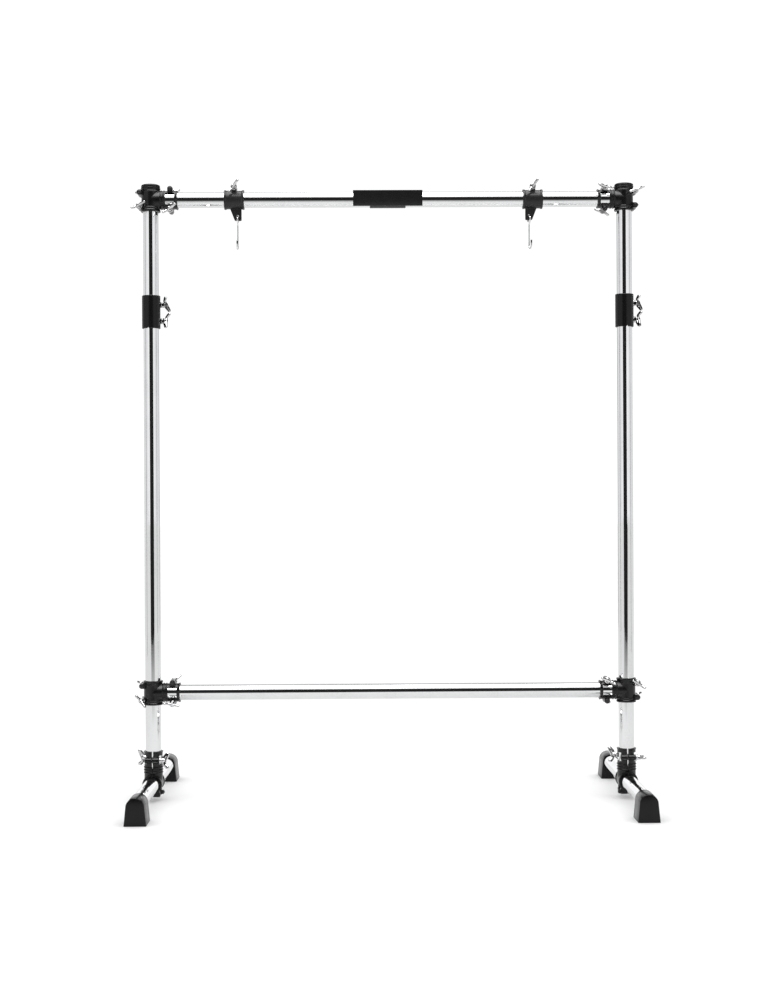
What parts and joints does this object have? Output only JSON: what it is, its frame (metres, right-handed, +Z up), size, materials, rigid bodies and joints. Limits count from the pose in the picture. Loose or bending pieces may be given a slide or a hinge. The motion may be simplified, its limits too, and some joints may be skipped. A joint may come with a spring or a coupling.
{
  "type": "gong stand",
  "caption": "Free-standing gong stand: two chromed tube posts on leg tubes with rubber feet, joined by upper and lower bars in moulded clamps, with hanging hooks.",
  "frame": {"origin": "on the floor, midway between the two posts and midway between the front and rear feet", "axes": "+X to the right seen from the front, +Y to the rear, +Z up"},
  "size_m": [1.2609, 0.6286, 1.5245],
  "materials": {
    "tube_chrome": "polished chrome plate on 38.1 mm steel tube",
    "hardware_chrome": "bright plated wing nuts and hook wire",
    "clamp_plastic": "black moulded nylon, satin, with a fine mould texture",
    "foot_rubber": "black moulded rubber, matte",
    "plate_plastic": "dark grey moulded plate with a raised border, left bare"
  },
  "bodies": {
    "posts": {"lower_post_left": "tube_chrome", "upper_post_left": "tube_chrome", "post_cap_left": "foot_rubber", "post_sleeve_left": "clamp_plastic", "lower_post_right": "tube_chrome", "upper_post_right": "tube_chrome", "post_cap_right": "foot_rubber", "post_sleeve_right": "clamp_plastic"},
    "top_clamps": {"top_left_clamp_front": "clamp_plastic", "top_left_clamp_rear": "clamp_plastic", "top_right_clamp_front": "clamp_plastic", "top_right_clamp_rear": "clamp_plastic"},
    "top_bar": {"top_bar": "tube_chrome", "name_plate": "plate_plastic"},
    "left_hanger": {"gong_hanger_left": "clamp_plastic"},
    "left_hook": {"gong_hook_left": "hardware_chrome"},
    "right_hanger": {"gong_hanger_right": "clamp_plastic"},
    "right_hook": {"gong_hook_right": "hardware_chrome"},
    "lower_clamps": {"lower_left_clamp_front": "clamp_plastic", "lower_left_clamp_rear": "clamp_plastic", "lower_right_clamp_front": "clamp_plastic", "lower_right_clamp_rear": "clamp_plastic"},
    "lower_bar": {"lower_bar": "tube_chrome"},
    "left_leg_clamp": {"leg_clamp_left_outer": "clamp_plastic", "leg_clamp_left_inner": "clamp_plastic"},
    "left_leg": {"leg_tube_left": "tube_chrome", "foot_front_left": "foot_rubber", "foot_rear_left": "foot_rubber"},
    "right_leg_clamp": {"leg_clamp_right_outer": "clamp_plastic", "leg_clamp_right_inner": "clamp_plastic"},
    "right_leg": {"leg_tube_right": "tube_chrome", "foot_front_right": "foot_rubber", "foot_rear_right": "foot_rubber"},
    "top_left_nut_post_rear": {"top_left_wing_nut_post_rear": "hardware_chrome"},
    "top_left_nut_post_front": {"top_left_wing_nut_post_front": "hardware_chrome"},
    "top_left_nut_bar_rear": {"top_left_wing_nut_bar_rear": "hardware_chrome"},
    "top_left_nut_bar_front": {"top_left_wing_nut_bar_front": "hardware_chrome"},
    "top_right_nut_post_rear": {"top_right_wing_nut_post_rear": "hardware_chrome"},
    "top_right_nut_post_front": {"top_right_wing_nut_post_front": "hardware_chrome"},
    "top_right_nut_bar_rear": {"top_right_wing_nut_bar_rear": "hardware_chrome"},
    "top_right_nut_bar_front": {"top_right_wing_nut_bar_front": "hardware_chrome"},
    "lower_left_nut_post_rear": {"lower_left_wing_nut_post_rear": "hardware_chrome"},
    "lower_left_nut_post_front": {"lower_left_wing_nut_post_front": "hardware_chrome"},
    "lower_left_nut_bar_rear": {"lower_left_wing_nut_bar_rear": "hardware_chrome"},
    "lower_left_nut_bar_front": {"lower_left_wing_nut_bar_front": "hardware_chrome"},
    "lower_right_nut_post_rear": {"lower_right_wing_nut_post_rear": "hardware_chrome"},
    "lower_right_nut_post_front": {"lower_right_wing_nut_post_front": "hardware_chrome"},
    "lower_right_nut_bar_rear": {"lower_right_wing_nut_bar_rear": "hardware_chrome"},
    "lower_right_nut_bar_front": {"lower_right_wing_nut_bar_front": "hardware_chrome"},
    "leg_nut_left_front": {"leg_wing_nut_left_front": "hardware_chrome"},
    "leg_nut_left_rear": {"leg_wing_nut_left_rear": "hardware_chrome"},
    "leg_nut_right_front": {"leg_wing_nut_right_front": "hardware_chrome"},
    "leg_nut_right_rear": {"leg_wing_nut_right_rear": "hardware_chrome"},
    "sleeve_nut_left_upper": {"sleeve_wing_nut_left_upper": "hardware_chrome"},
    "sleeve_nut_left_lower": {"sleeve_wing_nut_left_lower": "hardware_chrome"},
    "sleeve_nut_right_upper": {"sleeve_wing_nut_right_upper": "hardware_chrome"},
    "sleeve_nut_right_lower": {"sleeve_wing_nut_right_lower": "hardware_chrome"},
    "hanger_nut_left": {"hanger_wing_nut_left": "hardware_chrome"},
    "hanger_nut_right": {"hanger_wing_nut_right": "hardware_chrome"}
  },
  "joints": [
    {"name": "top_bar_height", "type": "slide", "parent": "posts", "child": "top_clamps", "axis": [0, 0, 1], "range_m": [-0.19, 0]},
    {"name": "top_bar_turn", "type": "hinge", "parent": "top_clamps", "child": "top_bar", "pos_m": [0, 0, 1.478], "axis": [1, 0, 0], "continuous": true},
    {"name": "lower_bar_height", "type": "slide", "parent": "posts", "child": "lower_clamps", "axis": [0, 0, 1], "range_m": [-0.1, 0.84]},
    {"name": "lower_bar_turn", "type": "hinge", "parent": "lower_clamps", "child": "lower_bar", "pos_m": [0, 0, 0.265], "axis": [1, 0, 0], "continuous": true},
    {"name": "left_hanger_slide", "type": "slide", "parent": "top_bar", "child": "left_hanger", "axis": [1, 0, 0], "range_m": [-0.108, 0.265]},
    {"name": "right_hanger_slide", "type": "slide", "parent": "top_bar", "child": "right_hanger", "axis": [1, 0, 0], "range_m": [-0.245, 0.13]},
    {"name": "left_hook_swing", "type": "hinge", "parent": "left_hanger", "child": "left_hook", "pos_m": [-0.3698, 0, 1.4378], "axis": [0, 1, 0], "range_deg": [-60, 60]},
    {"name": "right_hook_swing", "type": "hinge", "parent": "right_hanger", "child": "right_hook", "pos_m": [0.3493, 0, 1.4378], "axis": [0, 1, 0], "range_deg": [-60, 60]},
    {"name": "left_leg_swivel", "type": "hinge", "parent": "posts", "child": "left_leg_clamp", "pos_m": [-0.584, 0, 0.0425], "axis": [0, 0, 1], "continuous": true},
    {"name": "right_leg_swivel", "type": "hinge", "parent": "posts", "child": "right_leg_clamp", "pos_m": [0.584, 0, 0.0425], "axis": [0, 0, 1], "continuous": true},
    {"name": "left_leg_slide", "type": "slide", "parent": "left_leg_clamp", "child": "left_leg", "axis": [0, 1, 0], "range_m": [-0.2, 0.2]},
    {"name": "right_leg_slide", "type": "slide", "parent": "right_leg_clamp", "child": "right_leg", "axis": [0, 1, 0], "range_m": [-0.2, 0.2]},
    {"name": "top_left_nut_post_rear_turn", "type": "hinge", "parent": "top_clamps", "child": "top_left_nut_post_rear", "pos_m": [-0.6098, 0.03, 1.4955], "axis": [0, 1, 0], "continuous": true},
    {"name": "top_left_nut_post_front_turn", "type": "hinge", "parent": "top_clamps", "child": "top_left_nut_post_front", "pos_m": [-0.6098, -0.03, 1.4605], "axis": [0, -1, 0], "continuous": true},
    {"name": "top_left_nut_bar_rear_turn", "type": "hinge", "parent": "top_clamps", "child": "top_left_nut_bar_rear", "pos_m": [-0.5347, 0.03, 1.5038], "axis": [0, 1, 0], "continuous": true},
    {"name": "top_left_nut_bar_front_turn", "type": "hinge", "parent": "top_clamps", "child": "top_left_nut_bar_front", "pos_m": [-0.5347, -0.03, 1.4522], "axis": [0, -1, 0], "continuous": true},
    {"name": "top_right_nut_post_rear_turn", "type": "hinge", "parent": "top_clamps", "child": "top_right_nut_post_rear", "pos_m": [0.6098, 0.03, 1.4605], "axis": [0, 1, 0], "continuous": true},
    {"name": "top_right_nut_post_front_turn", "type": "hinge", "parent": "top_clamps", "child": "top_right_nut_post_front", "pos_m": [0.6098, -0.03, 1.4955], "axis": [0, -1, 0], "continuous": true},
    {"name": "top_right_nut_bar_rear_turn", "type": "hinge", "parent": "top_clamps", "child": "top_right_nut_bar_rear", "pos_m": [0.5347, 0.03, 1.4522], "axis": [0, 1, 0], "continuous": true},
    {"name": "top_right_nut_bar_front_turn", "type": "hinge", "parent": "top_clamps", "child": "top_right_nut_bar_front", "pos_m": [0.5347, -0.03, 1.5038], "axis": [0, -1, 0], "continuous": true},
    {"name": "lower_left_nut_post_rear_turn", "type": "hinge", "parent": "lower_clamps", "child": "lower_left_nut_post_rear", "pos_m": [-0.6098, 0.03, 0.2825], "axis": [0, 1, 0], "continuous": true},
    {"name": "lower_left_nut_post_front_turn", "type": "hinge", "parent": "lower_clamps", "child": "lower_left_nut_post_front", "pos_m": [-0.6098, -0.03, 0.2475], "axis": [0, -1, 0], "continuous": true},
    {"name": "lower_left_nut_bar_rear_turn", "type": "hinge", "parent": "lower_clamps", "child": "lower_left_nut_bar_rear", "pos_m": [-0.5347, 0.03, 0.2908], "axis": [0, 1, 0], "continuous": true},
    {"name": "lower_left_nut_bar_front_turn", "type": "hinge", "parent": "lower_clamps", "child": "lower_left_nut_bar_front", "pos_m": [-0.5347, -0.03, 0.2392], "axis": [0, -1, 0], "continuous": true},
    {"name": "lower_right_nut_post_rear_turn", "type": "hinge", "parent": "lower_clamps", "child": "lower_right_nut_post_rear", "pos_m": [0.6098, 0.03, 0.2475], "axis": [0, 1, 0], "continuous": true},
    {"name": "lower_right_nut_post_front_turn", "type": "hinge", "parent": "lower_clamps", "child": "lower_right_nut_post_front", "pos_m": [0.6098, -0.03, 0.2825], "axis": [0, -1, 0], "continuous": true},
    {"name": "lower_right_nut_bar_rear_turn", "type": "hinge", "parent": "lower_clamps", "child": "lower_right_nut_bar_rear", "pos_m": [0.5347, 0.03, 0.2392], "axis": [0, 1, 0], "continuous": true},
    {"name": "lower_right_nut_bar_front_turn", "type": "hinge", "parent": "lower_clamps", "child": "lower_right_nut_bar_front", "pos_m": [0.5347, -0.03, 0.2908], "axis": [0, -1, 0], "continuous": true},
    {"name": "leg_nut_left_front_turn", "type": "hinge", "parent": "left_leg_clamp", "child": "leg_nut_left_front", "pos_m": [-0.554, -0.0258, 0.1013], "axis": [1, 0, 0], "continuous": true},
    {"name": "leg_nut_left_rear_turn", "type": "hinge", "parent": "left_leg_clamp", "child": "leg_nut_left_rear", "pos_m": [-0.614, 0.0258, 0.1013], "axis": [-1, 0, 0], "continuous": true},
    {"name": "leg_nut_right_front_turn", "type": "hinge", "parent": "right_leg_clamp", "child": "leg_nut_right_front", "pos_m": [0.614, -0.0258, 0.1013], "axis": [1, 0, 0], "continuous": true},
    {"name": "leg_nut_right_rear_turn", "type": "hinge", "parent": "right_leg_clamp", "child": "leg_nut_right_rear", "pos_m": [0.554, 0.0258, 0.1013], "axis": [-1, 0, 0], "continuous": true},
    {"name": "sleeve_nut_left_upper_turn", "type": "hinge", "parent": "posts", "child": "sleeve_nut_left_upper", "pos_m": [-0.54935, 0.00778, 1.2222], "axis": [0.7071, -0.7071, 0], "continuous": true},
    {"name": "sleeve_nut_left_lower_turn", "type": "hinge", "parent": "posts", "child": "sleeve_nut_left_lower", "pos_m": [-0.54935, 0.00778, 1.1818], "axis": [0.7071, -0.7071, 0], "continuous": true},
    {"name": "sleeve_nut_right_upper_turn", "type": "hinge", "parent": "posts", "child": "sleeve_nut_right_upper", "pos_m": [0.61865, 0.00778, 1.2222], "axis": [0.7071, -0.7071, 0], "continuous": true},
    {"name": "sleeve_nut_right_lower_turn", "type": "hinge", "parent": "posts", "child": "sleeve_nut_right_lower", "pos_m": [0.61865, 0.00778, 1.1818], "axis": [0.7071, -0.7071, 0], "continuous": true},
    {"name": "hanger_nut_left_turn", "type": "hinge", "parent": "left_hanger", "child": "hanger_nut_left", "pos_m": [-0.378, -0.0245, 1.5075], "axis": [0, -1, 0], "continuous": true},
    {"name": "hanger_nut_right_turn", "type": "hinge", "parent": "right_hanger", "child": "hanger_nut_right", "pos_m": [0.3575, -0.0245, 1.5075], "axis": [0, -1, 0], "continuous": true}
  ]
}
